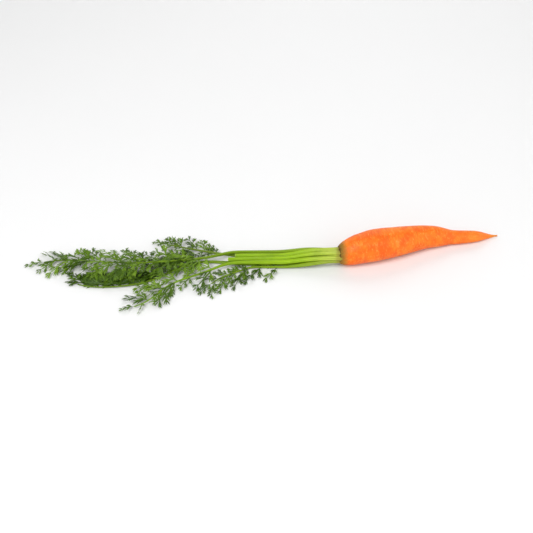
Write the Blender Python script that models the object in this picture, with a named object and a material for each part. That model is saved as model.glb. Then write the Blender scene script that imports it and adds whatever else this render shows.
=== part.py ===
"""A carrot with its leafy tops, lying on a flat surface.

The model is laid out with the middle of the crown near x = 0: the root runs towards +X, the leaf
stalks and leaves towards -X, and the surface is z = 0. One empty carries every piece, and the last
step moves it so that the middle of the object's footprint is the origin.
"""
import math

import bpy
import numpy as np
from mathutils import Vector

MM = 0.001
CLEARANCE = 0.3 * MM             # gap between pieces that touch
CURVE_STEPS = 24                 # how finely a curve is read between two way points
SHARP_EDGE = math.radians(40)    # edges that turn more than this are shaded sharp

# ---- root -------------------------------------------------------------------------------------
ROOT_LENGTH = 170 * MM           # crown to tip, along the bend
ROOT_DIAMETER = 32 * MM          # at the widest
ROOT_SIDES = 28
ROOT_RINGS = 34
RING_CROWDING = 1.25             # above 1, the rings stand closer at the crown than at the tip
CROWN_RIM = 0.3 * MM             # crown's face beyond the stalks that stand on it
# fraction of the length, share of the full diameter, from just behind the crown's face to the tip
ROOT_PROFILE = [
    (0.010, 0.59), (0.030, 0.70), (0.065, 0.82), (0.120, 0.92), (0.200, 0.99),
    (0.280, 0.98), (0.400, 0.875), (0.520, 0.74), (0.600, 0.665), (0.655, 0.555), (0.700, 0.45),
    (0.770, 0.415), (0.845, 0.37), (0.890, 0.29), (0.940, 0.14), (0.970, 0.065), (1.000, 0.03),
]
# fraction of the length along the chord, sideways offset as a share of the length
ROOT_BEND = [
    (0.00, 0.000), (0.06, 0.026), (0.20, 0.059), (0.35, 0.103), (0.52, 0.161), (0.66, 0.187),
    (0.76, 0.194), (0.85, 0.207), (0.93, 0.230), (1.00, 0.241),
]
CROWN_HEIGHT = 12.5 * MM           # middle of the crown above the surface
CROWN_LIFT_END = 0.16            # share of the length where the root comes down onto the surface
CROWN_Y = -2 * MM
TIP_HEIGHT = 2.0 * MM            # middle of the root's tip above the surface
TIP_LIFT_START = 0.86            # share of the length where the tip leaves the surface

# ---- stalks -----------------------------------------------------------------------------------
STALK_DIAMETER = 4.3 * MM        # at the crown
STALK_GAP = 0.5 * MM             # between stalks that lie side by side
STALK_SIDES = 8
STALK_RINGS = 26
STALK_TAPER_START = 0.6          # share of the bare stalk that keeps nearly its full thickness
STALK_TAPER = 0.95               # thickness there, as a share of the full one
MIDRIB_DIAMETER = 2.4 * MM       # of a leafy stalk where its leaflets begin
MIDRIB_TIP_DIAMETER = 1.1 * MM
BUNDLE_LENGTH = 85 * MM          # crown to where the bundle fans out
BUNDLE_Y = -2.7 * MM             # lane 0 of the lower row in the flat part of the bundle
BUNDLE_SPREAD_END = 0.40         # share of the bundle's length by which the lanes have spread
BUNDLE_DOWN_END = 0.70           # share of it by which the stalks have come down
BUNDLE_STATIONS = (0.0, 0.07, 0.16, 0.27, 0.38, 0.50, 0.62, 0.78, 1.0)
SURFACE_GAP = 0.15 * MM          # under the lower row of stalks

# ---- leaflets ---------------------------------------------------------------------------------
LEAFLET_THICKNESS = 0.9 * MM
LEAFLET_RIB_WIDTH = 0.9 * MM     # a leaflet is never narrower than its rib
LEAFLET_GAP = 0.45 * MM          # between a leaflet's base and the midrib's skin
LEAFLET_ASPECT = 0.38            # leaflet width as a share of its length
LEAFLET_STATIONS = 15
LEAFLET_BARE = 0.09              # share of a leaflet's length that is bare rib, at its base
LEAFLET_FULLNESS = 0.7           # below 1, a leaflet's outline is fuller than a sine
LEAFLET_TIP_WIDTH = 0.02         # share of its length that the outline would run on past the tip
LEAFLET_FOLLOW = 0.3             # how far leaflets turn to their leaf's overall heading
LEAFLET_TAPER = 0.38             # how much shorter the leaflets near a leaf's ends may be
LOBE_DEPTH = 0.45                # how far the notches cut into a leaflet's edge
LEAFLET_SCALE = 1.0              # length of every leaflet against its leaf's own value
LEAFLET_CURL = 0.10              # how far a leaflet's rib bends towards its leaf's tip, per length

# ring of stalks round the one in the middle, by angle from straight up, positive towards +Y
RING_STALKS = 7
# name: place in the ring (None is the middle), row in the bundle, lane in the row
STALK_PLACES = {
    "cut_stalk_1": (0.5, 1, 1),
    "cut_stalk_2": (-0.5, 1, 0),
    "cut_stalk_3": (None, 0, 1),
    "long_leaf": (1.5, 1, 2),
    "back_leaf": (2.5, 0, 2),
    "low_leaf": (3.5, 0, 0),
    "short_leaf": (-2.5, 0, -1),
    "front_leaf": (-1.5, 1, -1),
}

# cut stalks: length past the end of the bundle and sideways shift from the lane, in mm, and height
# of the cut end in stalk diameters
CUT_STALKS = {
    "cut_stalk_1": (15, -0.7, 1.58),
    "cut_stalk_2": (22, -1.0, 1.54),
    "cut_stalk_3": (8, 0.4, 0.60),
}

# leafy stalks past the end of the bundle: length along -X and sideways shift from the lane, in mm,
# and height in stalk diameters
LEAF_ROUTES = {
    "front_leaf": [
        (22, -1.9, 1.52), (44, -12.9, 1.30), (61, -20.4, 1.22), (75, -28.4, 1.20),
        (84, -36.9, 1.12), (92, -46.4, 1.00), (99, -52.4, 0.85), (108, -54.9, 0.62),
    ],
    "long_leaf": [
        (19, -2.0, 1.90), (41, -9.3, 1.98), (60, -12.3, 2.00), (86, -15.3, 2.00),
        (110, -16.3, 1.95), (135, -14.3, 1.65), (161, -10.3, 1.25), (185, -7.3, 0.90),
        (203, -9.3, 0.65),
    ],
    "low_leaf": [
        (19, 1.2, 0.56), (41, 3.2, 0.56), (57, 1.2, 0.56), (73, -7.3, 0.56), (87, -18.3, 0.51),
        (105, -26.3, 0.47), (127, -30.3, 0.44), (151, -30.3, 0.40), (165, -26.3, 0.35),
    ],
    "short_leaf": [
        (7, -3.5, 0.53), (17, -8.5, 0.51), (29, -14.5, 0.47), (37, -22.5, 0.40),
    ],
    "back_leaf": [
        (15, 0.9, 0.82), (31, 2.8, 1.05), (49, 6.6, 1.15), (67, 11.6, 1.12), (84, 17.1, 1.05),
    ],
}
# leafy stalks, first the -Y side and then the +Y side: shares of the stalk where leaflets begin
# and end, how many, the longest in mm, and their angle from the midrib in degrees; then the length
# of the end leaflet and how far tips droop, in mm; the low leaf lies folded over, with all its
# leaflets on one side
LEAF_SHAPES = {
    "front_leaf": ((0.58, 0.78, 2, 34, 34), (0.58, 0.925, 5, 28, 56), 12, 1.2),
    "long_leaf": ((0.46, 0.955, 6, 26, 48), (0.46, 0.925, 6, 26, 48), 16, 1.5),
    "low_leaf": (None, (0.54, 0.965, 6, 32, 48), 11, 2.4),
    "short_leaf": ((0.44, 0.955, 5, 25, 48), (0.74, 0.925, 3, 14, 48), 16, 2.4),
    "back_leaf": ((0.72, 0.955, 3, 14, 48), (0.68, 0.925, 3, 20, 48), 14, 1.2),
}

# colour, roughness and metallic value of each finish
FINISHES = {
    "root_skin": ((0.89, 0.22, 0.028), 0.45, 0.0),
    "stalk_green": ((0.27, 0.43, 0.022), 0.42, 0.0),
    "leaf_green": ((0.075, 0.155, 0.022), 0.60, 0.0),
}


def clear_scene():
    for item in list(bpy.data.objects):
        bpy.data.objects.remove(item, do_unlink=True)


def finish(name):
    material = bpy.data.materials.get(name)
    if material:
        return material
    colour, roughness, metallic = FINISHES[name]
    material = bpy.data.materials.new(name)
    material.use_nodes = True
    shader = material.node_tree.nodes["Principled BSDF"]
    shader.inputs["Base Color"].default_value = (*colour, 1.0)
    shader.inputs["Roughness"].default_value = roughness
    shader.inputs["Metallic"].default_value = metallic
    return material


def smooth_route(points, count):
    """A smooth curve through the points, read at evenly spaced places along its length."""
    points = np.asarray(points, float)
    ends = [2 * points[0] - points[1], *points, 2 * points[-1] - points[-2]]
    dense = []
    for a, b, c, d in zip(ends, ends[1:], ends[2:], ends[3:]):
        for t in np.linspace(0, 1, CURVE_STEPS, endpoint=False):
            dense.append(0.5 * (2 * b + (c - a) * t + (2 * a - 5 * b + 4 * c - d) * t ** 2
                                + (3 * b - a - 3 * c + d) * t ** 3))
    dense = np.array([*dense, points[-1]])
    steps = np.linalg.norm(np.diff(dense, axis=0), axis=1)
    run = np.concatenate([[0], np.cumsum(steps)])
    even = np.linspace(0, run[-1], count)
    return np.stack([np.interp(even, run, dense[:, k]) for k in range(3)], axis=1)


def read_at(route, share):
    """The point of an evenly spaced route at a share of its length."""
    stations = np.linspace(0, 1, len(route))
    return np.array([np.interp(share, stations, route[:, k]) for k in range(3)])


def headings(route):
    """Unit direction of travel at each point of a route."""
    ahead = np.gradient(route, axis=0)
    return ahead / np.linalg.norm(ahead, axis=1)[:, None]


def closed_skin(rings):
    """Vertices and faces of a closed solid through rings of equal point counts, ends filled."""
    rings = np.asarray(rings)
    count, sides = rings.shape[:2]
    faces = []
    for i in range(count - 1):
        for j in range(sides):
            k = (j + 1) % sides
            faces.append((i * sides + j, i * sides + k, (i + 1) * sides + k, (i + 1) * sides + j))
    faces.append(tuple(reversed(range(sides))))
    faces.append(tuple((count - 1) * sides + j for j in range(sides)))
    return rings.reshape(-1, 3), faces


def add_piece(name, rings, finish_name, parent):
    """One named object from rings that run around its route, placed at its first ring."""
    points, faces = closed_skin(rings)
    place = points[: len(rings[0])].mean(axis=0)
    mesh = bpy.data.meshes.new(name)
    mesh.from_pydata((points - place).tolist(), [], faces)
    mesh.shade_smooth()
    mesh.set_sharp_from_angle(angle=SHARP_EDGE)
    mesh.materials.append(finish(finish_name))
    piece = bpy.data.objects.new(name, mesh)
    piece.location = Vector(place)
    piece.parent = parent
    bpy.context.collection.objects.link(piece)
    return piece


# ---- root -------------------------------------------------------------------------------------

def root_radius(share):
    at, width = zip(*ROOT_PROFILE)
    face = stalk_ring_radius() + STALK_DIAMETER / 2 + CROWN_RIM
    return np.interp(share, [0, *at], [face, *(ROOT_DIAMETER / 2 * np.array(width))])


def rest_height(share):
    """Height of the root's middle where its flat underside lies on the surface."""
    return root_radius(share) * math.cos(math.pi / ROOT_SIDES)


def ease(value):
    value = np.clip(value, 0, 1)
    return value * value * (3 - 2 * value)


def root_route():
    """The bent middle line of the root: on the surface between the lifted crown and tip."""
    share = np.linspace(0, 1, ROOT_RINGS) ** RING_CROWDING
    at, offset = zip(*ROOT_BEND)
    sideways = np.interp(share, at, offset)
    reach = ROOT_LENGTH / math.hypot(1, ROOT_BEND[-1][1])
    crown = 1 - ease(share / CROWN_LIFT_END)
    tip = ease((share - TIP_LIFT_START) / (1 - TIP_LIFT_START))
    height = rest_height(share)
    height = height + crown * (CROWN_HEIGHT - height) + tip * (TIP_HEIGHT - height)
    height = np.maximum(height, rest_height(share))
    return share, np.stack([share * reach, CROWN_Y + sideways * reach, height], axis=1)


def add_root(parent):
    share, route = root_route()
    radius = root_radius(share)
    flat = route.copy()
    flat[:, 2] = 0
    ahead = headings(flat)
    side = np.stack([-ahead[:, 1], ahead[:, 0], np.zeros(len(ahead))], axis=1)
    side[0] = (0, 1, 0)
    # the turn of half a side lays one flat side along the surface
    turn = (np.arange(ROOT_SIDES) + 0.5) * 2 * math.pi / ROOT_SIDES - math.pi / 2
    rings = (route[:, None, :]
             + radius[:, None, None] * np.cos(turn)[None, :, None] * side[:, None, :]
             + radius[:, None, None] * np.sin(turn)[None, :, None] * np.array([0, 0, 1.0]))
    return add_piece("root", rings, "root_skin", parent)


# ---- stalks -----------------------------------------------------------------------------------

def lane(row, column):
    """Where a stalk's middle lies in the flat part of the bundle: (y, z)."""
    pitch = STALK_DIAMETER + STALK_GAP
    rise = pitch * math.sin(math.pi / 3)
    return (BUNDLE_Y + (column + 0.5 * row) * pitch,
            SURFACE_GAP + STALK_DIAMETER / 2 + row * rise)


def stalk_ring_radius():
    """Radius of the ring on which the stalks stand round the middle one, side by side."""
    pitch = STALK_DIAMETER + CLEARANCE
    return pitch / (2 * math.sin(math.pi / RING_STALKS))


def crown_place(place):
    """Where a stalk's middle meets the crown: (y, z)."""
    if place is None:
        return CROWN_Y, CROWN_HEIGHT
    ring = stalk_ring_radius()
    angle = place * 2 * math.pi / RING_STALKS
    return CROWN_Y + ring * math.sin(angle), CROWN_HEIGHT + ring * math.cos(angle)


def bundle_points(name):
    """Way points of a stalk from the crown to the end of the bundle."""
    place, row, column = STALK_PLACES[name]
    start_y, start_z = crown_place(place)
    end_y, end_z = lane(row, column)
    points = []
    # the stalks spread sideways before they come down, so that none passes through another
    for share in BUNDLE_STATIONS:
        y = start_y + (end_y - start_y) * ease(share / BUNDLE_SPREAD_END)
        z = start_z + (end_z - start_z) * ease(share / BUNDLE_DOWN_END)
        points.append((-CLEARANCE - share * BUNDLE_LENGTH, y, z))
    return points


def past_bundle(end, length, shift, height):
    """A way point past the end of the bundle; the height is in stalk diameters."""
    return end[0] - length * MM, end[1] + shift * MM, height * STALK_DIAMETER


def stalk_rings(route, radius):
    ahead = headings(route)
    side = np.cross([0, 0, 1.0], ahead)
    side /= np.linalg.norm(side, axis=1)[:, None]
    up = np.cross(ahead, side)
    # the first ring lies flat against the crown
    side[0], up[0] = (0, -1, 0), (0, 0, 1)
    turn = np.arange(STALK_SIDES) * 2 * math.pi / STALK_SIDES
    return (route[:, None, :]
            + radius[:, None, None] * np.cos(turn)[None, :, None] * side[:, None, :]
            + radius[:, None, None] * np.sin(turn)[None, :, None] * up[:, None, :])


def add_cut_stalk(name, parent):
    way = bundle_points(name)
    route = smooth_route([*way, past_bundle(way[-1], *CUT_STALKS[name])], STALK_RINGS // 2)
    radius = np.full(len(route), STALK_DIAMETER / 2)
    return add_piece(name, stalk_rings(route, radius), "stalk_green", parent)


def leaf_route(name):
    way = bundle_points(name)
    beyond = [past_bundle(way[-1], *point) for point in LEAF_ROUTES[name]]
    return smooth_route([*way, *beyond], STALK_RINGS)


def leaf_stalk_radius(name, share):
    start = min(side[0] for side in LEAF_SHAPES[name][:2] if side)
    full = STALK_DIAMETER / 2
    return np.interp(share, [0, start * STALK_TAPER_START, start, 1],
                     [full, full * STALK_TAPER, MIDRIB_DIAMETER / 2, MIDRIB_TIP_DIAMETER / 2])


def add_leaf_stalk(name, parent):
    route = leaf_route(name)
    radius = leaf_stalk_radius(name, np.linspace(0, 1, len(route)))
    return add_piece(name + "_stalk", stalk_rings(route, radius), "stalk_green", parent)


# ---- leaflets ---------------------------------------------------------------------------------

def level(vector):
    """The vector's direction along the surface, as a unit vector."""
    flat = np.array([vector[0], vector[1], 0.0])
    return flat / np.linalg.norm(flat)


def turned(direction, angle):
    """A level direction turned by an angle, anticlockwise from above."""
    return np.array([direction[0] * math.cos(angle) - direction[1] * math.sin(angle),
                     direction[0] * math.sin(angle) + direction[1] * math.cos(angle), 0.0])


def swell(along):
    """A leaflet's length as a share of the longest: full just past the middle of its leaf."""
    return 1 - LEAFLET_TAPER * (1 - math.sin(math.pi * (0.15 + 0.75 * along)))


def blade_half_width(width):
    """Half the width of a lobed blade at each of its stations, widest in the middle."""
    share = np.linspace(0, 1, LEAFLET_STATIONS)
    leafy = np.clip((share - LEAFLET_BARE) / (1 + LEAFLET_TIP_WIDTH - LEAFLET_BARE), 0, 1)
    outline = np.sin(leafy * math.pi) ** LEAFLET_FULLNESS
    notch = np.where(np.arange(LEAFLET_STATIONS) % 2 == 0, 1 - LOBE_DEPTH, 1.0)
    return np.maximum(width / 2 * outline * notch, LEAFLET_RIB_WIDTH / 2)


def blade_rings(start, direction, length, curl, droop):
    """A thin lobed blade: rings of four points (edge, top, edge, underside) along a bent rib.

    start is the middle of its base, direction its level heading, curl how far its rib bends
    to the left as a share of its length, and droop how far its tip comes down. No point is
    below the surface.
    """
    share = np.linspace(0, 1, LEAFLET_STATIONS)
    side = turned(direction, math.pi / 2)
    half_thick = LEAFLET_THICKNESS / 2 * np.interp(share, [0, 0.15, 1], [0.8, 1, 0.6])
    rib = start + direction * (share * length)[:, None] + side * (curl * length * share ** 2)[:, None]
    rib[:, 2] = np.maximum(start[2] - droop * share ** 2, half_thick)
    across = side * blade_half_width(LEAFLET_ASPECT * length)[:, None]
    through = np.array([0, 0, 1.0]) * half_thick[:, None]
    return np.stack([rib + across, rib + through, rib - across, rib - through], axis=1)


def add_leaflets(name, parent):
    """Leaflets along both sides of a leaf's midrib, longest past its middle, and one at its end."""
    *sides, end_length, droop = LEAF_SHAPES[name]
    route = leaf_route(name)
    travel = headings(route)
    number = 1
    for turn, side in zip((1, -1), sides):
        if side is None:
            continue
        begin, end, count, longest, angle = side
        shares = np.linspace(begin, end, count)
        last = level(route[-1] - route[int(begin * (len(route) - 1))])
        for share in shares:
            spot = read_at(route, share)
            heading = level(read_at(travel, share))
            mean = level(heading * (1 - LEAFLET_FOLLOW) + last * LEAFLET_FOLLOW)
            direction = turned(mean, turn * math.radians(angle))
            slant = heading @ direction
            off = leaf_stalk_radius(name, share) + LEAFLET_GAP + LEAFLET_RIB_WIDTH / 2 * abs(slant)
            length = longest * MM * LEAFLET_SCALE * swell((share - begin) / (end - begin))
            rings = blade_rings(spot + direction * off / math.sqrt(1 - slant ** 2), direction,
                                length, -turn * LEAFLET_CURL, droop * MM)
            add_piece(f"{name}let_{number:02d}", rings, "leaf_green", parent)
            number += 1
    direction = level(travel[-1])
    rings = blade_rings(route[-1] + direction * LEAFLET_GAP, direction,
                        end_length * MM * LEAFLET_SCALE, 0, droop * MM)
    add_piece(f"{name}let_{number:02d}", rings, "leaf_green", parent)


def centre_footprint(parent):
    """Move the carrying empty so that the middle of the footprint is the origin."""
    bpy.context.view_layer.update()
    corners = np.array([piece.matrix_world @ vertex.co
                        for piece in parent.children for vertex in piece.data.vertices])
    low, high = corners.min(axis=0), corners.max(axis=0)
    parent.location = (-(low[0] + high[0]) / 2, -(low[1] + high[1]) / 2, -low[2])
    bpy.context.view_layer.update()


def build():
    clear_scene()
    carrot = bpy.data.objects.new("carrot", None)
    bpy.context.collection.objects.link(carrot)
    add_root(carrot)
    for name in CUT_STALKS:
        add_cut_stalk(name, carrot)
    for name in LEAF_ROUTES:
        add_leaf_stalk(name, carrot)
        add_leaflets(name, carrot)
    centre_footprint(carrot)


build()
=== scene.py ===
"""The looks of a carrot with its leafy tops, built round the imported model.

Every surface is a function of two parameters, worked out as whole numpy arrays. The root, the
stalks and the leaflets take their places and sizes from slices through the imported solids.
"""
import math

import bpy
import numpy as np
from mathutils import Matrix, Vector


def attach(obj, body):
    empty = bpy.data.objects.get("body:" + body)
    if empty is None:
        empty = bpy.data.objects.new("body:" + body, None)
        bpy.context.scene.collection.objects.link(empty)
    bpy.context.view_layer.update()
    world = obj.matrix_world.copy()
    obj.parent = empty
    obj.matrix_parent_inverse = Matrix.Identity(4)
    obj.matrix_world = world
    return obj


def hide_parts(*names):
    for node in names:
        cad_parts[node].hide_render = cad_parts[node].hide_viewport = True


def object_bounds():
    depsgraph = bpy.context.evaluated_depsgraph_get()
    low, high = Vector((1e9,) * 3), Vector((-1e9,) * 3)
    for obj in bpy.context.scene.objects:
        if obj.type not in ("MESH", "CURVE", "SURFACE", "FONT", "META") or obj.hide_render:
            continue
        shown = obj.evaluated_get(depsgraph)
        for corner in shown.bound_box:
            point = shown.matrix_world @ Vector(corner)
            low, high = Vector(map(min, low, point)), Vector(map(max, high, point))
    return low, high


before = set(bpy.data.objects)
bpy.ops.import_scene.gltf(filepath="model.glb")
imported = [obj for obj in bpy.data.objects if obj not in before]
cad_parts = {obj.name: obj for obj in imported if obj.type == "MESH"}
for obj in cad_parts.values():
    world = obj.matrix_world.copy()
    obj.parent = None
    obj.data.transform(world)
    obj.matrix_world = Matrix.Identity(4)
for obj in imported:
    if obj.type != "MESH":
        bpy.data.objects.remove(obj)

CAD_BOX = [list(corner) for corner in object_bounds()]
MM = 0.001
UP = np.array([0.0, 0.0, 1.0])

LEAVES = ("front_leaf", "long_leaf", "low_leaf", "short_leaf", "back_leaf")
CUT_STALKS = ("cut_stalk_1", "cut_stalk_2", "cut_stalk_3")

# seeds of the random draws; the numbers of a stalk or leaf are added to the last three
ROOT_SEED = 11
CUT_SEED = 40
STALK_SEED = 60
LEAF_SEED = 80


# ---- small helpers ----------------------------------------------------------------------------

def unit(vectors):
    """Vectors scaled to length one, along the last axis."""
    return vectors / np.maximum(np.linalg.norm(vectors, axis=-1, keepdims=True), 1e-12)


def ease(value):
    """Smooth step: 0 below 0, 1 above 1, level at both ends."""
    value = np.clip(value, 0.0, 1.0)
    return value * value * (3 - 2 * value)


def wander(rng, count, knots, size=1.0):
    """A smooth random line of count values: a few random knots joined by cosine blends."""
    heights = rng.normal(0.0, size, knots + 1)
    at = np.linspace(0, knots, count)
    low = np.minimum(at.astype(int), knots - 1)
    share = (1 - np.cos((at - low) * math.pi)) / 2
    return heights[low] * (1 - share) + heights[low + 1] * share


def softened(values, width):
    """Values averaged with their neighbours, width places to each side, ends held."""
    kernel = np.hanning(2 * width + 3)[1:-1]
    padded = np.concatenate([np.full(width, values[0]), values, np.full(width, values[-1])])
    return np.convolve(padded, kernel / kernel.sum(), mode="valid")


def run_along(points):
    """The length of a line up to each of its points."""
    return np.concatenate([[0], np.cumsum(np.linalg.norm(np.diff(points, axis=0), axis=1))])


def half_turn(angle):
    """Angles brought between minus and plus half a turn."""
    return (angle + math.pi) % (2 * math.pi) - math.pi


def resample(points, count):
    """A line of points read again at count even steps along its length."""
    run = run_along(points)
    even = np.linspace(0, run[-1], count)
    return np.stack([np.interp(even, run, points[:, k]) for k in range(points.shape[1])], axis=1)


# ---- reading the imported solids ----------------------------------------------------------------

END_SLAB = 0.05 * MM             # corners this near to the end of a long solid make up its end face
LEAFLET_SLAB = 0.02 * MM         # the same for a leaflet
LEAFLET_REACH = 20 * MM          # points of a slice lie this near to its origin
STALK_REACH = 6 * MM
STALK_STEP = 5 * MM              # between a stalk's slices


def corners_of(solid):
    """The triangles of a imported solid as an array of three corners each."""
    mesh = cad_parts[solid].data
    points = np.zeros(len(mesh.vertices) * 3)
    mesh.vertices.foreach_get("co", points)
    mesh.calc_loop_triangles()
    index = np.zeros(len(mesh.loop_triangles) * 3, int)
    mesh.loop_triangles.foreach_get("vertices", index)
    return points.reshape(-1, 3)[index].reshape(-1, 3, 3)


def slice_points(corners, origin, normal):
    """Where the edges of the triangles pass through a plane."""
    height = (corners - origin) @ normal
    found = []
    for a, b in ((0, 1), (1, 2), (2, 0)):
        crosses = (height[:, a] > 0) != (height[:, b] > 0)
        share = height[crosses, a] / (height[crosses, a] - height[crosses, b])
        start, end = corners[crosses, a], corners[crosses, b]
        found.append(start + (end - start) * share[:, None])
    return np.concatenate(found)


def section(corners, origin, normal, reach):
    """Middle, half width and half height of the slice through the plane, near its origin."""
    side = unit(np.cross(UP, normal))
    rise = np.cross(normal, side)
    cut = slice_points(corners, origin, normal) - origin
    cut = cut[np.linalg.norm(cut, axis=1) < reach]
    if len(cut) < 4:
        return None
    across, upward = cut @ side, cut @ rise
    middle = (origin + side * (across.max() + across.min()) / 2
              + rise * (upward.max() + upward.min()) / 2)
    return middle, np.ptp(across) / 2, np.ptp(upward) / 2


def walk_stalk(solid):
    """The middle line and radius of a stalk's solid, found slice by slice from the crown on."""
    corners = corners_of(solid)
    flat = corners.reshape(-1, 3)
    first = flat[flat[:, 0] > flat[:, 0].max() - END_SLAB]
    place, heading = first.mean(axis=0), np.array([-1.0, 0.0, 0.0])
    radius = np.ptp(first[:, 1]) / 2
    line = [(*place, radius)]
    while True:
        found = section(corners, place + heading * STALK_STEP, heading, STALK_REACH)
        if found is None:
            break
        middle, wide, high = found
        heading = unit(middle - place)
        place = middle
        line.append((*place, min(wide, high)))
    # the last stretch, up to the end face
    ahead = ((flat - place) @ heading).max()
    line.append((*(place + heading * ahead), line[-1][3]))
    return np.array(line)


def leaflet_rib(solid, stalk):
    """Base, middle and tip of a leaflet's solid. The base is the end nearer to its stalk."""
    corners = corners_of(solid)
    flat = corners.reshape(-1, 3)
    centre = flat.mean(axis=0)
    _, _, axes = np.linalg.svd(flat - centre, full_matrices=False)
    along = axes[0]
    run = (flat - centre) @ along
    ends = [flat[run < run.min() + LEAFLET_SLAB].mean(axis=0),
            flat[run > run.max() - LEAFLET_SLAB].mean(axis=0)]
    ends.sort(key=lambda end: np.linalg.norm(stalk[:, :3] - end, axis=1).min())
    base, tip = ends
    middle = section(corners, (base + tip) / 2, unit(tip - base), LEAFLET_REACH)[0]
    return base, middle, tip


# ---- making meshes ----------------------------------------------------------------------------

def ring_faces(rows, sides):
    """Quads between neighbouring rings and triangles to the two pole points that follow them."""
    i, j = np.meshgrid(np.arange(rows - 1), np.arange(sides), indexing="ij")
    a = i * sides + j
    b = i * sides + (j + 1) % sides
    quads = np.stack([a, b, b + sides, a + sides], axis=-1).reshape(-1, 4)
    turn = np.arange(sides)
    after = (turn + 1) % sides
    last = (rows - 1) * sides
    first_cap = np.stack([after, turn, np.full(sides, rows * sides)], axis=-1)
    last_cap = np.stack([last + turn, last + after, np.full(sides, rows * sides + 1)], axis=-1)
    return [quads, first_cap, last_cap]


def with_poles(values):
    """Values on a grid of rings as rows, followed by those of its two pole points."""
    flat = values.reshape(values.shape[0] * values.shape[1], -1)
    joined = np.concatenate([flat, values[[0, -1]].mean(axis=1).reshape(2, -1)])
    return joined[:, 0] if joined.shape[1] == 1 else joined


def add_piece(name, points, faces, marks, material, sharp=None):
    """One object at the origin from points, face arrays, and named values on its points."""
    mesh = bpy.data.meshes.new(name)
    mesh.vertices.add(len(points))
    mesh.vertices.foreach_set("co", np.ascontiguousarray(points, np.float32).ravel())
    sizes = np.concatenate([np.full(len(group), group.shape[1]) for group in faces])
    mesh.loops.add(int(sizes.sum()))
    corners = np.concatenate([group.ravel() for group in faces])
    mesh.loops.foreach_set("vertex_index", corners.astype(np.int32))
    mesh.polygons.add(len(sizes))
    starts = np.concatenate([[0], np.cumsum(sizes)[:-1]])
    mesh.polygons.foreach_set("loop_start", starts.astype(np.int32))
    mesh.update(calc_edges=True)
    mesh.shade_smooth()
    if sharp is not None:
        mesh.set_sharp_from_angle(angle=sharp)
    for title, values in marks.items():
        kind = "FLOAT" if np.ndim(values) == 1 else "FLOAT_VECTOR"
        layer = mesh.attributes.new(title, kind, "POINT")
        key = "value" if kind == "FLOAT" else "vector"
        layer.data.foreach_set(key, np.ascontiguousarray(values, np.float32).ravel())
    mesh.materials.append(material)
    piece = bpy.data.objects.new(name, mesh)
    bpy.context.scene.collection.objects.link(piece)
    return piece


def join(piece, slot, *nodes):
    """Ties a finished piece to the root's body and hides the solids that it stands for; slot is not
    used.
    """
    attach(piece, "root")
    if nodes:
        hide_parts(*nodes)
    return piece


# ---- materials --------------------------------------------------------------------------------

class Wire:
    """A node's output that takes part in sums, so that shader maths reads as an expression."""

    def __init__(self, tree, socket):
        self.tree = tree
        self.socket = socket

    def _math(self, operation, first, second):
        return node(self.tree, "ShaderNodeMath", {"operation": operation}, {0: first, 1: second})

    def __add__(self, other):
        return self._math("ADD", self, other)

    __radd__ = __add__

    def __sub__(self, other):
        return self._math("SUBTRACT", self, other)

    def __rsub__(self, other):
        return self._math("SUBTRACT", other, self)

    def __mul__(self, other):
        return self._math("MULTIPLY", self, other)

    __rmul__ = __mul__

    def clamp(self):
        return node(self.tree, "ShaderNodeClamp", {}, {0: self})

    def between(self, low, high):
        """0 below low, 1 above high, and smooth in between."""
        return node(self.tree, "ShaderNodeMapRange", {"interpolation_type": "SMOOTHSTEP"},
                    {0: self, 1: low, 2: high})


def node(tree, kind, settings, inputs, output=0):
    """Adds a node: its settings first, then the values or links of its sockets."""
    made = tree.nodes.new(kind)
    for key, value in settings.items():
        if key == "stops":
            elements = made.color_ramp.elements
            for at, _ in value[1:-1]:
                elements.new(at)
            for element, (at, colour) in zip(elements, value):
                element.position = at
                element.color = (*colour, 1.0)
        else:
            setattr(made, key, value)
    for key, value in inputs.items():
        if isinstance(value, Wire):
            tree.links.new(value.socket, made.inputs[key])
        elif value is not None:
            made.inputs[key].default_value = value
    return Wire(tree, made.outputs[output])


def mark(tree, name, output=2):
    """A named value of the mesh: output 2 is the number, output 1 the vector."""
    return node(tree, "ShaderNodeAttribute", {"attribute_name": name}, {}, output)


def position(tree):
    """Where a shaded point lies on its object."""
    return node(tree, "ShaderNodeTexCoord", {}, {}, "Object")


def noise(tree, at, scale, detail=3.0, roughness=0.55):
    return node(tree, "ShaderNodeTexNoise", {}, {"Vector": at, "Scale": scale, "Detail": detail,
                                                 "Roughness": roughness}, 0)


def blend(tree, share, first, second, mode="MIX"):
    """A colour between two, by a share from 0 to 1."""
    inputs = {0: share}
    for key, value in ((6, first), (7, second)):
        inputs[key] = value if isinstance(value, Wire) else (*value, 1.0)
    return node(tree, "ShaderNodeMix", {"data_type": "RGBA", "blend_type": mode}, inputs, 2)


def bump(tree, height, distance, strength):
    return node(tree, "ShaderNodeBump", {}, {"Height": height, "Distance": distance,
                                             "Strength": strength})


def new_finish(name, constants):
    """A material with one Principled shader; constants are its plain numbers and colours."""
    material = bpy.data.materials.new(name)
    material.use_nodes = True
    shader = material.node_tree.nodes["Principled BSDF"]
    for key, value in constants.items():
        shader.inputs[key].default_value = value
    return material, material.node_tree, shader


def plug(tree, shader, **inputs):
    for key, wire in inputs.items():
        tree.links.new(wire.socket, shader.inputs[key.replace("_", " ")])


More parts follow.
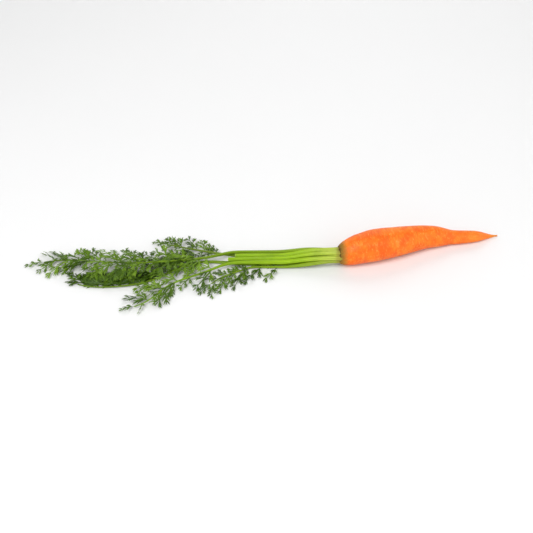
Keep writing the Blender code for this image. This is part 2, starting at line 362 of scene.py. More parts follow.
# colours as linear red, green and blue
SKIN_DEEP = (0.86, 0.122, 0.003)
SKIN_BRIGHT = (0.93, 0.200, 0.008)
SKIN_STREAK = (0.96, 0.33, 0.045)
SKIN_PALE = (0.97, 0.44, 0.100)
SKIN_DARK = (0.80, 0.090, 0.002)
TAIL_ORANGE = (0.94, 0.27, 0.030)
TIP_BROWN = (0.62, 0.26, 0.030)
CREASE_BROWN = (0.50, 0.120, 0.010)
SCAR_BROWN = (0.60, 0.26, 0.060)
CROWN_OLIVE = (0.42, 0.175, 0.018)
CROWN_BROWN = (0.22, 0.135, 0.016)
CROWN_DARK = (0.075, 0.045, 0.006)
RIB_HIGHLIGHT = (0.60, 0.76, 0.07)
# multiplied into the stalk green for the painted shade in its grooves, and for darker patches
STALK_SHADE = (0.50, 0.58, 0.40)
STALK_SHADOWED = (0.125, 0.19, 0.003)
FOOT_BROWN = (0.24, 0.16, 0.02)
PITH_GREEN = (0.48, 0.60, 0.12)
PITH_PALE = (0.72, 0.78, 0.34)
LEAF_DEEP = (0.018, 0.055, 0.0005)
LEAF_GREEN = (0.115, 0.225, 0.004)
LEAF_PALE = (0.30, 0.46, 0.055)
VEIN_GREEN = (0.20, 0.33, 0.02)
FLECK_GREEN = (0.035, 0.085, 0.010)
FLOOR_GREY = (0.86, 0.86, 0.86)
FLOOR_PALE = (0.88, 0.88, 0.88)
WALL_GLOW = 0.42


def root_finish():
    """Orange skin: pale cross streaks, deeper mottling, brown creases and an olive crown."""
    material, tree, shader = new_finish("root_skin", {
        "Subsurface Weight": 0.12, "Subsurface Radius": (1.0, 0.35, 0.12), "Subsurface Scale": 2.0 * MM,
        "Specular IOR Level": 0.22, "Coat Roughness": 0.30})
    grain = mark(tree, "grain", 1)
    titles = ("crease", "crown", "tail", "tip", "scar")
    crease, crown, tail, tip, scar = (mark(tree, title) for title in titles)
    at = position(tree)
    mottle = noise(tree, at, 85.0, 4.0)
    streak = noise(tree, grain, 8.0, 5.0, 0.65)
    fine = noise(tree, grain, 30.0, 3.0, 0.6)
    speck = noise(tree, at, 900.0, 2.0)
    skin = blend(tree, mottle.between(0.36, 0.66), SKIN_DEEP, SKIN_BRIGHT)
    skin = blend(tree, streak.between(0.50, 0.72) * 0.55, skin, SKIN_STREAK)
    skin = blend(tree, fine.between(0.54, 0.74) * 0.50, skin, SKIN_PALE)
    skin = blend(tree, (1 - fine).between(0.54, 0.76) * 0.55, skin, SKIN_DARK)
    skin = blend(tree, tail * 0.40, skin, TAIL_ORANGE)
    skin = blend(tree, tip * 0.65, skin, TIP_BROWN)
    skin = blend(tree, (crease * (0.45 + 0.45 * speck)).clamp(), skin, CREASE_BROWN)
    skin = blend(tree, scar * 0.55, skin, SCAR_BROWN)
    ragged = crown + (streak - 0.5) * 0.45 + (speck - 0.5) * 0.30
    skin = blend(tree, ragged.between(0.12, 0.55) * 0.70, skin, CROWN_OLIVE)
    skin = blend(tree, ragged.between(0.40, 0.80) * 0.85, skin, CROWN_BROWN)
    skin = blend(tree, ragged.between(0.78, 1.02) * 0.9, skin, CROWN_DARK)
    rough = 0.40 + 0.14 * mottle + 0.10 * fine + 0.22 * crown
    height = fine * 0.6 + speck * (0.25 + 0.9 * crown) + streak * 0.5
    plug(tree, shader, Base_Color=skin, Roughness=rough, Coat_Weight=(0.07 - 0.07 * crown).clamp(),
         Normal=bump(tree, height, 0.25 * MM, 0.55))
    return material


def stalk_finish():
    """Bright yellow-green stalk: pale at the crown, darker towards the leaf; painted shade between its
    ribs, a painted highlight on them.
    """
    material, tree, shader = new_finish("stalk_green", {
        "Subsurface Weight": 0.12, "Subsurface Radius": (0.6, 1.0, 0.2), "Subsurface Scale": 1.5 * MM,
        "Specular IOR Level": 0.20, "Coat Roughness": 0.3})
    rib, along, tint, cut, earth = (mark(tree, key) for key in ("rib", "along", "tint", "cut", "earth"))
    grain = mark(tree, "grain", 1)
    fibre = noise(tree, grain, 6.0, 4.0, 0.6)
    patch = noise(tree, position(tree), 70.0, 3.0)
    stops = [(0.00, (0.54, 0.62, 0.090)), (0.12, (0.36, 0.56, 0.006)), (0.28, (0.30, 0.50, 0.004)),
             (0.48, (0.20, 0.36, 0.006)), (1.00, (0.115, 0.225, 0.006))]
    green = node(tree, "ShaderNodeValToRGB", {"stops": stops}, {0: along})
    deep = blend(tree, 1.0, green, STALK_SHADE, "MULTIPLY")
    # painted shade: the stalk darker in the hollows between its ribs and in its groove
    green = blend(tree, (0 - rib).between(-0.5, 0.9) * 0.75, green, deep)
    # painted highlight: pale streaks along the rib tops
    ridge = rib.between(0.30, 1.0) * fibre.between(0.38, 0.62) * 0.35
    green = blend(tree, ridge, green, RIB_HIGHLIGHT)
    green = blend(tree, patch.between(0.52, 0.78) * 0.45, green, deep)
    # painted shade over whole stalks, most at the back of the bundle, with a little random tone along
    # each
    green = blend(tree, tint, green, STALK_SHADOWED)
    # brown at the stalk's foot, next to the crown
    green = blend(tree, earth * 0.80, green, FOOT_BROWN)
    pith = blend(tree, fibre.between(0.4, 0.7), PITH_GREEN, PITH_PALE)
    green = blend(tree, cut, green, pith)
    rough = 0.36 + 0.18 * fibre + 0.25 * cut
    plug(tree, shader, Base_Color=green, Roughness=rough, Coat_Weight=(0.07 - 0.07 * cut).clamp(),
         Normal=bump(tree, fibre, 0.20 * MM, 0.5))
    return material


def leaf_finish():
    """Leaf green: each lobe its own tone, darker at its base, paler along its midvein; the low and back
    leaves darker as painted shade.
    """
    material, tree, shader = new_finish("leaf_green", {
        "Subsurface Weight": 0.08, "Subsurface Radius": (0.5, 1.0, 0.2), "Subsurface Scale": 0.6 * MM,
        "Specular IOR Level": 0.26})
    tint, reach, vein = (mark(tree, key) for key in ("tint", "reach", "vein"))
    at = position(tree)
    cloud = noise(tree, at, 45.0, 3.0)
    fleck = noise(tree, at, 1400.0, 2.0)
    # the lobe's tone carries the painted shade of the low and back leaves
    share = tint * 0.55 + reach * 0.22 + (cloud - 0.5) * 0.9
    green = blend(tree, share.between(0.0, 0.80), LEAF_DEEP, LEAF_GREEN)
    green = blend(tree, share.between(0.55, 1.0) * 0.75, green, LEAF_PALE)
    green = blend(tree, vein * 0.25, green, VEIN_GREEN)
    green = blend(tree, fleck.between(0.55, 0.8) * 0.25, green, FLECK_GREEN)
    rough = 0.38 + 0.20 * fleck
    plug(tree, shader, Base_Color=green, Roughness=rough, Normal=bump(tree, fleck, 0.06 * MM, 0.4))
    return material


def floor_finish():
    """Pale matt floor whose far wall glows a little, as a lit backdrop does."""
    material, tree, shader = new_finish("pale_floor", {
        "Roughness": 0.7, "Specular IOR Level": 0.2, "Emission Strength": WALL_GLOW})
    shade = noise(tree, position(tree), 3.0, 2.0)
    glow = blend(tree, mark(tree, "glow"), (0.0, 0.0, 0.0), (1.0, 1.0, 1.0))
    plug(tree, shader, Base_Color=blend(tree, shade, FLOOR_GREY, FLOOR_PALE),
         Emission_Color=glow)
    return material


# ---- root -------------------------------------------------------------------------------------

ROOT_ROWS = 360
ROOT_TURNS = 256
ROOT_STEP = 2.0 * MM
CROWN_BAND = 10.5 * MM           # how far the brown of the crown reaches down the root
CREASES = 330
SCARS = 40
RIDGE_ROWS = 4                   # side roots grow in this many rows along the root
RIDGE_TURN = 0.5                 # radians from the +Y side to the first of these rows
ROOT_REACH = 30 * MM             # points of a slice lie this near to its origin
OUTLINE_STEPS = 200
OUTLINE_SOFTENING = ((0, 3), (1, 9), (2, 7), (3, 3))     # column and width
FACE_SHARE = 0.80                # radius of the crown's face against the first slice
TIP_RADIUS = 0.7 * MM
LEAST_RADIUS = 0.8 * MM
# waves round the root and their size against its radius
SWELLS = ((1, 0.010), (2, 0.013), (3, 0.009), (4, 0.006), (5, 0.004))
CROWN_KNOBS = 5
CREASE_DEPTH = 0.18 * MM
LIP_HEIGHT = 0.06 * MM
SCAR_DEPTH = 0.14 * MM


def root_outline(hub):
    """Middle line and radius of the root, found slice by slice from the crown to the tip."""
    corners = corners_of("root")
    flat = corners.reshape(-1, 3)
    tip = flat[flat[:, 0] > flat[:, 0].max() - END_SLAB].mean(axis=0)
    place, heading = hub.copy(), unit((tip - hub) * [1, 1, 0])
    line = []
    while np.linalg.norm(tip - place) > 1.2 * ROOT_STEP:
        found = section(corners, place + heading * ROOT_STEP, heading, ROOT_REACH)
        turned = unit((found[0] - place) * [1, 1, 0])
        heading = unit(heading * 0.5 + turned * 0.5)
        place = found[0]
        line.append((*place, found[2]))
    line.append((*tip, TIP_RADIUS))
    face = np.array([*hub, line[0][3] * FACE_SHARE])
    line = resample(np.array([face, *line]), OUTLINE_STEPS)
    for column, width in OUTLINE_SOFTENING:
        line[:, column] = softened(line[:, column], width)
    line[:, 3] = np.maximum(line[:, 3], LEAST_RADIUS)
    return line


def add_root(hub, material):
    """The root as a profile swept along its bent middle line.

    Radius = outline x (1 + slow lumps + lobes and knobs near the crown) - creases + lips - scars.
    A crease is a thin bell along the root times a wide one round it, with a lip on either side.
    """
    rng = np.random.default_rng(ROOT_SEED)
    outline = root_outline(hub)
    run = run_along(outline[:, :3])
    length = run[-1]
    # profile from the middle of the crown's face out over its rim, then down to the tip
    face = outline[0, 3]
    dome = [(-0.6 * MM, 0.02 * face), (-0.5 * MM, 0.5 * face), (-0.1 * MM, 0.85 * face)]
    end = (length + 0.1 * MM, 0.1 * MM)
    profile = resample(np.array([*dome, *zip(run[1:], outline[1:, 3]), end]), ROOT_ROWS)
    at, wide = profile[:, 0], profile[:, 1]
    middle = np.stack([np.interp(at, run, outline[:, k]) for k in range(3)], axis=1)
    heading = softened_heading(outline, run, at)
    middle += heading * np.minimum(at, 0)[:, None]
    share = np.clip(at / length, 0, 1)
    turn = np.arange(ROOT_TURNS) * 2 * math.pi / ROOT_TURNS
    _, angle = np.meshgrid(np.arange(ROOT_ROWS), turn, indexing="ij")
    along = share[:, None] * np.ones_like(angle)

    swell = np.zeros_like(angle)
    for waves, size in SWELLS:
        phase = wander(rng, ROOT_ROWS, 6, 1.6)[:, None]
        strength = size * (0.6 + 0.4 * wander(rng, ROOT_ROWS, 9, 1.0))[:, None]
        swell += strength * np.cos(waves * angle + phase)
    swell += 0.005 * wander(rng, ROOT_ROWS, 34, 1.0)[:, None]
    lobes = np.exp(-((along - 0.03) / 0.045) ** 2)
    swell += 0.016 * lobes * np.cos(7 * angle + 0.6 + 2.0 * along)
    swell += 0.010 * lobes * np.cos(12 * angle + 2.1)
    knobs = np.exp(-((along - 0.012) / 0.016) ** 2)
    for _ in range(CROWN_KNOBS):
        swell += 0.010 * knobs * np.cos(rng.integers(9, 34) * angle + rng.uniform(0, 6)
                                        + along * rng.uniform(-300, 300))
    shape = wide[:, None] * (1 + swell)

    crease = np.zeros_like(angle)
    lip = np.zeros_like(angle)
    ridge = rng.integers(0, RIDGE_ROWS, CREASES) * 2 * math.pi / RIDGE_ROWS + RIDGE_TURN
    around = ridge + rng.normal(0, 0.55, CREASES)
    down = rng.beta(1.1, 1.2, CREASES) * 0.96 + 0.03
    for centre, where in zip(around, down):
        half = rng.uniform(0.08, 0.42) * rng.uniform(0.5, 1.0)
        thin = rng.uniform(0.16, 0.34) * MM / length
        depth = rng.uniform(0.12, 1.0) ** 1.6
        gap = half_turn(angle - centre)
        bow = where + rng.normal(0, 0.0020) * (gap / half) ** 2 + rng.normal(0, 0.003) * gap
        off = (along - bow) / thin
        room = min(1.0, np.interp(where, share, wide) / (7 * MM))
        bell = np.exp(-(gap / half) ** 2) * depth * room
        crease += bell * np.exp(-off ** 2)
        lip += bell * np.exp(-((np.abs(off) - 2.2) / 1.1) ** 2)
    scar = np.zeros_like(angle)
    for _ in range(SCARS):
        centre = (rng.integers(0, RIDGE_ROWS) * 2 * math.pi / RIDGE_ROWS + RIDGE_TURN
                  + rng.normal(0, 0.16))
        where = rng.uniform(0.05, 0.93)
        gap = half_turn(angle - centre) * np.interp(where, share, wide)
        off = (along - where) * length
        size = rng.uniform(0.25, 0.50) * MM
        scar += np.exp(-(gap / (1.8 * size)) ** 2 - (off / size) ** 2)
    shape = (shape - CREASE_DEPTH * np.minimum(crease, 1.3) + LIP_HEIGHT * lip
             - SCAR_DEPTH * np.minimum(scar, 1))

    side = np.stack([-heading[:, 1], heading[:, 0], np.zeros(ROOT_ROWS)], axis=1)
    points = (middle[:, None] + shape[..., None] * (np.cos(angle)[..., None] * side[:, None]
                                                    + np.sin(angle)[..., None] * UP))
    # the underside is pressed level where it lies on the surface
    points[..., 2] = np.maximum(points[..., 2], 0.02 * MM)
    poles = middle[[0, -1]] + np.array([[-0.02, 0, 0], [0.1, 0, 0]]) * MM
    distance = at[:, None] * np.ones_like(angle)
    crown = np.clip(1 - distance / CROWN_BAND, 0, 1)
    grain = np.stack([np.cos(angle) * 0.16, np.sin(angle) * 0.16, along * length * 26], axis=-1)

    marks = {"crease": np.clip(crease, 0, 1), "scar": np.clip(scar, 0, 1), "crown": crown,
             "tail": ease((along - 0.55) / 0.40), "tip": ease((along - 0.93) / 0.06), "grain": grain}
    marks = {title: with_poles(values) for title, values in marks.items()}
    all_points = np.concatenate([points.reshape(-1, 3), poles])
    piece = add_piece("root_surface", all_points, ring_faces(ROOT_ROWS, ROOT_TURNS), marks, material)
    return join(piece, "root_skin", "root")


def softened_heading(line, run, at):
    """Level heading of a line at places along it, averaged so that the rings never cross."""
    heading = np.gradient(line[:, :3], axis=0)
    heading[:, 2] = 0
    heading = unit(heading)
    # the crown's face looks back along the stalks
    heading[:, 0] += 3.0 * np.exp(-run / (5 * MM))
    heading = np.stack([softened(unit(heading)[:, k], 8) for k in range(3)], axis=1)
    return unit(np.stack([np.interp(at, run, heading[:, k]) for k in range(3)], axis=1))


# ---- stalks -----------------------------------------------------------------------------------

STALK_ROWS = 170
STALK_TURNS = 64
RIBS = 8


def stalk_frames(line):
    """Heading, side and upward direction along a line, with no twist about it."""
    heading = unit(np.gradient(line[:, :3], axis=0))
    side = unit(np.cross(UP, heading))
    return heading, side, np.cross(heading, side)


# how dark each stalk is, from 0 to 1: painted shade, deepest on the stalks at the back of the bundle
STALK_PAINTED_SHADE = {"cut_stalk_1": 0.04, "cut_stalk_2": 0.0, "cut_stalk_3": 0.20, "front_leaf": 0.06,
                "long_leaf": 0.55, "low_leaf": 0.45, "short_leaf": 0.42, "back_leaf": 0.70}
SUNK = 5.0 * MM                  # how deep a stalk's base runs into the crown
SHEATH_LENGTH = 8 * MM           # over which a stalk's wide base narrows
SHEATH_SWELL = 0.24
RIB_HEIGHT = 0.055               # against the stalk's radius
GROOVE_DEPTH = 0.24
GROOVE_WIDTH = 0.55              # radians
SHADE_LENGTH = 300 * MM          # over which a stalk turns from pale to dark
# over which the brown at a stalk's foot fades
FOOT_BAND_LENGTH = 1.3 * MM


def add_stalk(name, node_name, line, hub, seed, shade, cut, material):
    """A ribbed leaf stalk: a ring of rounded ribs with one groove, carried along its line.

    Radius = the solid's radius x (0.97 + ribs - groove), widened to a sheath at the crown. The
    groove faces the middle of the bundle, hub. A cut stalk ends in a shallow cup.
    """
    rng = np.random.default_rng(seed)
    smooth = resample(line, STALK_ROWS)
    for column in range(4):
        smooth[:, column] = softened(smooth[:, column], 4)
    smooth[0, 0] += SUNK
    heading, side, rise = stalk_frames(smooth)
    run = run_along(smooth[:, :3])
    toward = hub - smooth[0, :3]
    groove_at = 1.2
    if np.linalg.norm(toward) > 1 * MM:
        groove_at = math.atan2(toward @ rise[0], toward @ side[0])
    turn = np.arange(STALK_TURNS) * 2 * math.pi / STALK_TURNS
    _, angle = np.meshgrid(np.arange(STALK_ROWS), turn, indexing="ij")
    twist = wander(rng, STALK_ROWS, 5, 0.10)[:, None]
    phase = rng.uniform(0, 6.28)
    ribs = np.cos(RIBS * (angle + twist) + phase) * (0.70 + 0.30 * np.cos(3 * angle + 2 * phase))
    ribs = ribs + 0.30 * np.cos((RIBS + 3) * angle - 2 * twist + 3 * phase)
    gap = half_turn(angle - groove_at - twist * 2)
    groove = np.exp(-(gap / GROOVE_WIDTH) ** 2)
    thick = smooth[:, 3][:, None]
    # ribs fade as the stalk thins into a leaf's midrib
    bold = ease((thick / MM - 0.35) / 1.4)
    sheath = np.exp(-np.maximum(run - SUNK, 0) / SHEATH_LENGTH)[:, None]
    body = thick * (1 + SHEATH_SWELL * sheath) * (1 + 0.02 * wander(rng, STALK_ROWS, 14)[:, None])
    shape = body * (0.97 + RIB_HEIGHT * bold * ribs * (1 - groove) - GROOVE_DEPTH * bold * groove)
    points = (smooth[:, None, :3] + shape[..., None] * (np.cos(angle)[..., None] * side[:, None]
                                                        + np.sin(angle)[..., None] * rise[:, None]))
    end = smooth[-1, :3] + heading[-1] * (-0.35 * MM if cut else thick[-1, 0] * 0.8)
    if cut:
        slant = (np.cos(angle[-3:]) * 0.5 + np.sin(angle[-3:]) * 0.3) * 0.8 * MM
        points[-3:] += heading[-3:, None] * (slant[..., None] * np.array([0.3, 0.7, 1.0])[:, None, None])
    points[..., 2] = np.maximum(points[..., 2], 0.05 * MM)
    grain = np.stack([np.cos(angle) * 1.2, np.sin(angle) * 1.2,
                      run[:, None] / MM * 0.02 * np.ones_like(angle)], axis=-1)
    along = np.clip((run - SUNK) / SHADE_LENGTH, 0, 1)[:, None] * np.ones_like(angle)
    # the stalk's painted shade, with a little random tone along it
    tint = np.clip(shade + 0.10 * wander(rng, STALK_ROWS, 8)[:, None] * np.ones_like(angle), 0, 1)
    ends = np.zeros_like(angle)
    ends[-1] = 1.0 if cut else 0.0
    # brown band at the foot of the stalk, fading away from the crown
    earth = np.exp(-np.maximum(run - SUNK, 0) / FOOT_BAND_LENGTH)[:, None] * np.ones_like(angle)

    marks = {"rib": np.clip(ribs * (1 - groove) - groove, -1, 1), "along": along, "tint": tint,
             "cut": ends, "earth": earth, "grain": grain}
    marks = {title: with_poles(values) for title, values in marks.items()}
    start = smooth[0, :3] - heading[0] * 0.2 * MM
    all_points = np.concatenate([points.reshape(-1, 3), [start, end]])
    piece = add_piece(name, all_points, ring_faces(STALK_ROWS, STALK_TURNS), marks, material,
                      sharp=math.radians(55))
    return join(piece, "stalk_green", node_name)


# ---- leaves -----------------------------------------------------------------------------------

BLADE_STATIONS = np.array([0.0, 0.18, 0.42, 0.68, 0.88, 1.0])
BLADE_WIDTHS = np.array([0.50, 0.86, 1.0, 0.76, 0.40, 0.05])
LEAF_THICK = 0.28 * MM
FLOOR_GAP = 0.12 * MM
PRESS = 2.0 * MM                 # leaves closer to the surface than this are pressed towards it
# the small leaflets between a leaf's large ones: the step between them in mm, their lean from the
# midrib in degrees, their length against the large ones beside them, and their rows, where 1 is
# the -Y side, -1 the +Y side and 0 lies along the midrib's back
FRINGES = {
    "front_leaf": (18.0, 36, (0.40, 0.65), (1, -1)),
    "long_leaf": (11.5, 44, (0.75, 1.15), (1, -1, 0)),
    "low_leaf": (7.0, 50, (0.70, 1.05), (-1, -1)),
    "short_leaf": (14.0, 50, (0.50, 0.90), (1, -1)),
    "back_leaf": (11.0, 46, (0.70, 1.05), (1, -1)),
}
# extra leaflets near a leaf's end: share of the midrib where they start, row, lean in degrees and
# length in mm
STRANDS = {"front_leaf": [(0.84, -1, 74, 20), (0.93, -1, 84, 17)]}
# the range of tones of each leaf's leaflets, from 0 for the deepest to 1 for the palest; the darker
# ranges of the low, short and back leaves are painted shade
LEAF_TONES_AND_SHADE = {"front_leaf": (0.15, 0.90), "long_leaf": (0.20, 1.0), "low_leaf": (0.0, 0.40),
               "short_leaf": (0.0, 0.70), "back_leaf": (0.0, 0.60)}
# step in mm between the side ribs of each leaf's leaflets
FINGER_STEPS = {"front_leaf": 9.0, "long_leaf": 7.6, "low_leaf": 6.4, "short_leaf": 8.6,
                "back_leaf": 7.6}
FINGER_LEAN = 40                 # degrees from the leaflet's rib
LONGEST_FINGER = 13 * MM
LOBED_FROM = 5.0 * MM            # shorter fingers have no lobes
LOBE_LEAN = 27                   # degrees from the finger's rib
FOLD = 0.38                      # how far a blade's edges rise, against its half width
MIDRIB_STEPS = 400
ROOM = 4.0 * MM                  # a small leaflet stays this far from a large one's base
BACK_LEAN = 12                   # degrees from the midrib of the leaflets along its back


class Shoots:
    """Many blades at once. A blade's rib is base + along x length x s + curl x length x s^2,
    with s from 0 to 1; face is the way its upper side looks, and the last value is its tone from 0 to 1,
    which carries the painted shade of its leaf."""

    KEYS = ("base", "along", "face", "curl", "length", "width", "tint")

    def __init__(self, base, along, face, curl, length, width, tint):
        self.base, self.along, self.curl, self.length = base, unit(along), curl, length
        self.face = unit(face - self.along * (face * self.along).sum(-1, keepdims=True))
        self.width, self.tint = width, tint

    def rib(self, share):
        """Points on the ribs at a share of their length."""
        share = (share * np.ones(len(self.length)))[:, None]
        return self.base + (self.along + self.curl * share) * self.length[:, None] * share

    def heading(self, share):
        return unit(self.along + self.curl * 2 * (share * np.ones(len(self.length)))[:, None])

    def keep(self, wanted):
        return Shoots(*(getattr(self, key)[wanted] for key in self.KEYS))


def together(groups):
    return Shoots(*(np.concatenate([getattr(group, key) for group in groups]) for key in Shoots.KEYS))


def side_shoots(parents, stations, lean, length_of, width_of, rng, loose=0.12, sweep=0.16):
    """Blades in pairs along every parent's rib, leaning forward by the angle lean from it.

    length_of(share) is a blade's length against its parent's, loose how far its direction and
    face stray at random, sweep how far it bows forward.
    """
    made = []
    count = len(parents.length)
    for turn in (1.0, -1.0):
        for share in stations:
            at = np.clip(share + turn * 0.02 + rng.normal(0, 0.015, count), 0.02, 0.98)
            heading = parents.heading(at)
            face = unit(parents.face + rng.normal(0, loose, (count, 3)))
            side = unit(np.cross(face, heading)) * turn
            angle = (lean + rng.normal(0, 0.10, count))[:, None]
            along = unit(heading * np.cos(angle) + side * np.sin(angle)
                         + rng.normal(0, loose, (count, 3)) * 0.5)
            forward = heading - along * (heading * along).sum(-1, keepdims=True)
            curl = forward * (sweep * rng.uniform(0.4, 1.4, count))[:, None]
            curl = curl - face * rng.normal(0.10, 0.09, count)[:, None]
            length = parents.length * length_of(at) * rng.uniform(0.80, 1.15, count)
            tint = np.clip(parents.tint + rng.normal(0, 0.26, count), 0, 1)
            made.append(Shoots(parents.rib(at), along, face, curl, length, width_of(length), tint))
    return together(made)


def end_shoots(parents, share, width_of):
    """One blade that carries each parent's rib on past its end."""
    length = parents.length * share
    return Shoots(parents.rib(0.96), parents.heading(1.0), parents.face, parents.curl * share,
                  length, width_of(length), parents.tint)


def pressed(height):
    """Heights with the lowest ones squeezed together above the surface instead of below it."""
    limit = FLOOR_GAP + PRESS
    low = FLOOR_GAP + PRESS * np.exp((np.minimum(height, limit) - FLOOR_GAP - PRESS) / PRESS)
    return np.where(height < limit, low, height)


def blade_mesh(shoots):
    """Closed thin blades: six rings of four points (edge, crease, edge, back) down each rib.

    The outline swells and comes to a point, and the two halves fold up from the crease.
    """
    count = len(shoots.length)
    stations, sides = len(BLADE_STATIONS), 4
    share = BLADE_STATIONS[None, :, None]
    length = shoots.length[:, None, None]
    rib = shoots.base[:, None] + (shoots.along[:, None] + shoots.curl[:, None] * share) * length * share
    rib[..., 2] = pressed(rib[..., 2])
    heading = unit(np.gradient(rib, axis=1))
    face = shoots.face[:, None]
    face = unit(face - heading * (face * heading).sum(-1, keepdims=True))
    side = np.cross(face, heading)
    half = shoots.width[:, None] / 2 * BLADE_WIDTHS[None, :]
    fold = (FOLD * half)[..., None] * face
    thick = (LEAF_THICK / 2 * (0.35 + 0.65 * BLADE_WIDTHS))[None, :, None] * face
    wide = half[..., None] * side
    rings = np.stack([rib + wide + fold, rib + thick, rib - wide + fold, rib - thick], axis=2)
    points = rings.reshape(-1, 3)
    points[:, 2] = np.maximum(points[:, 2], 0.01 * MM)
    first = (np.arange(count) * stations * sides)[:, None, None]
    i, j = np.meshgrid(np.arange(stations - 1), np.arange(sides), indexing="ij")
    a, b = i * sides + j, i * sides + (j + 1) % sides
    quads = (np.stack([a, b, b + sides, a + sides], axis=-1).reshape(1, -1, 4) + first).reshape(-1, 4)
    start_cap = first[:, 0] + np.array([[3, 2, 1, 0]])
    end_cap = first[:, 0] + (stations - 1) * sides + np.array([[0, 1, 2, 3]])
    ones = np.ones((1, stations, sides))
    marks = {"tint": (shoots.tint[:, None, None] * ones).ravel(),
             "reach": (np.ones((count, 1, 1)) * BLADE_STATIONS[None, :, None] * ones).ravel(),
             "vein": (np.ones((count, stations, 1)) * np.array([0.0, 1.0, 0.0, 1.0])).ravel()}
    return points, [quads, start_cap, end_cap], marks


def lobe_width(length):
    return np.clip(0.27 * length, 0.9 * MM, 1.6 * MM)


def finger_width(length):
    """Width of a side rib's own blade: the strip of leaf left along it between the lobes."""
    return np.clip(0.15 * length, 1.2 * MM, 2.1 * MM)


def rib_width(length):
    return np.clip(0.06 * length, 1.1 * MM, 1.6 * MM)


def leaflet_blades(pinna, step, rng):
    """Every blade of one leaflet: its rib, the fingers to both sides of it, and their lobes."""
    pairs = int(np.clip(round(pinna.length[0] / step), 3, 6))
    stations = np.linspace(0.12, 0.84, pairs)
    limit = min(1.0, LONGEST_FINGER / (0.5 * pinna.length[0]))
    fingers = side_shoots(pinna, stations, math.radians(FINGER_LEAN),
                          lambda at: limit * (0.19 + 0.40 * (1 - at) ** 0.7 * ease((at + 0.15) / 0.35)),
                          finger_width, rng, 0.20)
    long_fingers = fingers.keep(fingers.length > LOBED_FROM)
    lobes = side_shoots(long_fingers, (0.28, 0.58), math.radians(LOBE_LEAN),
                        lambda at: 0.64 - 0.34 * at, lobe_width, rng, 0.16, 0.08)
    tips = end_shoots(pinna, 0.18, finger_width)
    return together([pinna, fingers, lobes, tips])


def one_leaflet(base, along, face, curl, length, tint):
    length = np.array([length])
    return Shoots(base[None], along[None], face[None], curl[None], length, rib_width(length),
                  np.array([tint]))


def add_blades(name, shoots, material, *nodes):
    points, faces, marks = blade_mesh(shoots)
    piece = add_piece(name, points, faces, marks, material, sharp=math.radians(60))
    return join(piece, "leaf_green", *nodes)


def leaflet_nodes(leaf):
    return sorted(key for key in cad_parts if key.startswith(leaf + "let_"))


def add_leaf(leaf, line, seed, material):
    """A leaf's own leaflets in place of its solids, and the small ones between them."""
    rng = np.random.default_rng(seed)
    step = FINGER_STEPS[leaf] * MM
    large = []
    for index, key in enumerate(leaflet_nodes(leaf)):
        base, middle, tip = leaflet_rib(key, line)
        chord = tip - base
        length = np.linalg.norm(chord)
        near = line[np.linalg.norm(line[:, :3] - base, axis=1).argmin(), :3]
        start = base + (near - base) * 0.6
        bow = middle - (base + tip) / 2
        side = unit(np.cross(UP, chord))
        roll = rng.normal(0, 0.30)
        face = UP * math.cos(roll) + side * math.sin(roll)
        rise = rng.uniform(0.04, 0.32)
        # a rib that starts at the stalk, passes the solid's middle and ends at its tip
        curl = (-4 * bow) / length - UP * rise
        along = (tip - start) / length - curl
        large.append((base, length))
        pinna = one_leaflet(start, along, face, curl, length, rng.uniform(*LEAF_TONES_AND_SHADE[leaf]))
        pinna.length = np.array([np.linalg.norm(tip - start)])
        add_blades(f"{leaf}_frond_{index + 1:02d}", leaflet_blades(pinna, step, rng), material, key)
    add_fringe(leaf, line, large, rng, material)


def add_fringe(leaf, line, large, rng, material):
    """Smaller leaflets along a midrib, in the gaps between the large ones."""
    gap, lean, (shortest, longest), rows = FRINGES[leaf]
    step = FINGER_STEPS[leaf] * MM
    smooth = resample(line, MIDRIB_STEPS)
    last = MIDRIB_STEPS - 1
    heading = unit(np.gradient(smooth[:, :3], axis=0))
    run = np.linalg.norm(np.diff(smooth[:, :3], axis=0), axis=1).sum()
    bases = np.array([base for base, _ in large])
    lengths = np.array([length for _, length in large])
    begin = min(np.linalg.norm(smooth[:, :3] - base, axis=1).argmin() for base in bases) / last
    blades = []
    for share in np.arange(begin + 0.02, 0.995, gap * MM / run):
        for row in rows:
            at = int(np.clip(share + rng.normal(0, 0.004), 0, 1) * last)
            here = smooth[at, :3] + UP * smooth[at, 3] * (0.9 if row == 0 else 0.0)
            angle = math.radians(lean) + rng.normal(0, 0.14)
            turn = row
            if row == 0:
                turn = rng.choice((-1, 1))
                angle = math.radians(BACK_LEAN) + rng.normal(0, 0.14)
            side = unit(np.cross(UP, heading[at])) * turn
            apart = bases - here
            own_side = apart @ side > 0
            near = np.linalg.norm(apart, axis=1)
            if row and (own_side & (near < ROOM)).any():
                continue
            reach = np.where(own_side, near, 1.0)
            length = lengths[reach.argsort()[:2]].mean() * rng.uniform(shortest, longest)
            rise = rng.uniform(0.05, 0.55)
            if row == 0:
                length *= 0.6
                rise *= 0.5
            along = heading[at] * math.cos(angle) + side * math.sin(angle) + UP * rise
            curl = heading[at] * rng.uniform(0.0, 0.25) - UP * (rise + 0.08)
            face = UP + side * rng.normal(0, 0.40) + heading[at] * rng.normal(0, 0.2)
            pinna = one_leaflet(here, along, face, curl, length, rng.uniform(*LEAF_TONES_AND_SHADE[leaf]))
            blades.append(leaflet_blades(pinna, step, rng))
    for share, row, lean, length in STRANDS.get(leaf, ()):
        at = int(share * last)
        side = unit(np.cross(UP, heading[at])) * row
        angle = math.radians(lean)
        along = heading[at] * math.cos(angle) + side * math.sin(angle) + UP * 0.12
        curl = side * 0.04 - UP * 0.18
        pinna = one_leaflet(smooth[at, :3], along, UP, curl, length * MM,
                            rng.uniform(*LEAF_TONES_AND_SHADE[leaf]))
        blades.append(leaflet_blades(pinna, step, rng))
    add_blades(f"{leaf}_fringe", together(blades), material)


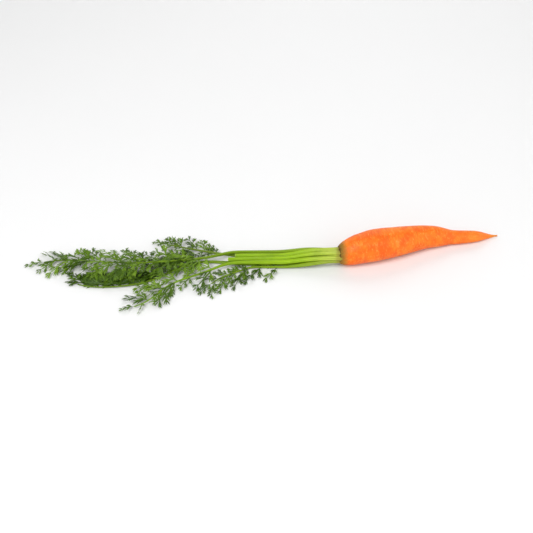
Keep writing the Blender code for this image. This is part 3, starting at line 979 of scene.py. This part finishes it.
# ---- stage ------------------------------------------------------------------------------------

EYE_FROM_CROWN = (-0.0732, -0.567, 0.536)   # metres, from the surface under the crown's middle
SENSOR = 36.0
FILL = 0.97                      # how much of the frame's width the object takes
AIM_HEIGHT = 0.008
WORLD_STRENGTH = 0.30
FLOOR_TURNS = 96
FLAT_RINGS = 14                  # rings of the floor's level part
# name, width in metres, power in watts and place; each one shines on the origin
LIGHTS = (("key", 0.8, 13.8, (-0.5, -0.7, 1.3)),
          ("fill", 1.2, 5.0, (0.9, -0.5, 0.9)),
          ("back", 0.8, 4.5, (0.2, 1.1, 1.0)))


def add_camera(crown):
    low, high = (np.array(corner) for corner in CAD_BOX)
    eye = np.array([crown[0] + EYE_FROM_CROWN[0], crown[1] + EYE_FROM_CROWN[1], EYE_FROM_CROWN[2]])
    aim = (low + high) / 2
    aim[2] = AIM_HEIGHT
    back = unit(eye - aim)
    side = unit(np.cross(UP, back))
    corners = np.array([[x, y, z] for x in (low[0], high[0]) for y in (low[1], high[1])
                        for z in (0, high[2] / 2)])
    seen = corners - eye
    depth = -(seen @ back)
    across = (seen @ side) / depth
    centre = (across.max() + across.min()) / 2
    aim = aim + side * centre * np.linalg.norm(eye - aim)
    data = bpy.data.cameras.new("camera")
    data.sensor_width = SENSOR
    data.lens = SENSOR * FILL / np.ptp(across)
    data.clip_start = 0.01
    camera = bpy.data.objects.new("camera", data)
    bpy.context.scene.collection.objects.link(camera)
    camera.location = Vector(eye)
    camera.rotation_euler = Vector(aim - eye).to_track_quat("-Z", "Y").to_euler()
    bpy.context.scene.camera = camera


def add_floor():
    """A flat round floor that curves up into a low wall far from the object."""
    flat, curve, rise = 2.2, 0.9, 1.6
    swing = np.linspace(0, math.pi / 2, 24)
    radius = np.concatenate([np.linspace(0.02, flat, FLAT_RINGS), flat + curve * np.sin(swing[1:]),
                             [flat + curve]])
    height = np.concatenate([np.zeros(FLAT_RINGS), curve * (1 - np.cos(swing[1:])), [rise]])
    angle = np.arange(FLOOR_TURNS) * 2 * math.pi / FLOOR_TURNS
    rings = np.stack([radius[:, None] * np.cos(angle), radius[:, None] * np.sin(angle),
                      height[:, None] * np.ones(FLOOR_TURNS)], axis=-1)
    faces = ring_faces(len(radius), FLOOR_TURNS)[:2]
    points = np.concatenate([rings.reshape(-1, 3), [[0, 0, 0]]])
    glow = ease((np.linalg.norm(points[:, :2], axis=1) - 0.9) / 1.5)
    floor = add_piece("floor", points, faces, {"glow": glow}, floor_finish())


def add_light(name, size, power, spot):
    data = bpy.data.lights.new(name, "AREA")
    data.shape = "DISK"
    data.size = size
    data.energy = power
    light = bpy.data.objects.new(name, data)
    light.location = spot
    light.rotation_euler = (-Vector(spot)).to_track_quat("-Z", "Y").to_euler()
    bpy.context.scene.collection.objects.link(light)


def add_lights():
    world = bpy.data.worlds.new("studio")
    world.use_nodes = True
    background = world.node_tree.nodes["Background"]
    background.inputs["Color"].default_value = (1.0, 1.0, 1.0, 1.0)
    background.inputs["Strength"].default_value = WORLD_STRENGTH
    bpy.context.scene.world = world
    for light in LIGHTS:
        add_light(*light)


def main():
    bpy.context.scene.view_settings.view_transform = "Standard"
    skin, stalk_green, leaf_green = root_finish(), stalk_finish(), leaf_finish()
    lines = {key: walk_stalk(key) for key in CUT_STALKS}
    lines.update({leaf: walk_stalk(leaf + "_stalk") for leaf in LEAVES})
    hub = np.mean([line[0, :3] for line in lines.values()], axis=0)
    add_root(hub, skin)
    for index, key in enumerate(CUT_STALKS):
        add_stalk(key + "_ribbed", key, lines[key], hub, CUT_SEED + index, STALK_PAINTED_SHADE[key],
                  True, stalk_green)
    for index, leaf in enumerate(LEAVES):
        add_stalk(leaf + "_rib", leaf + "_stalk", lines[leaf], hub, STALK_SEED + index,
                  STALK_PAINTED_SHADE[leaf], False, stalk_green)
        add_leaf(leaf, lines[leaf], LEAF_SEED + index, leaf_green)
    add_floor()
    add_lights()
    add_camera(hub)


main()
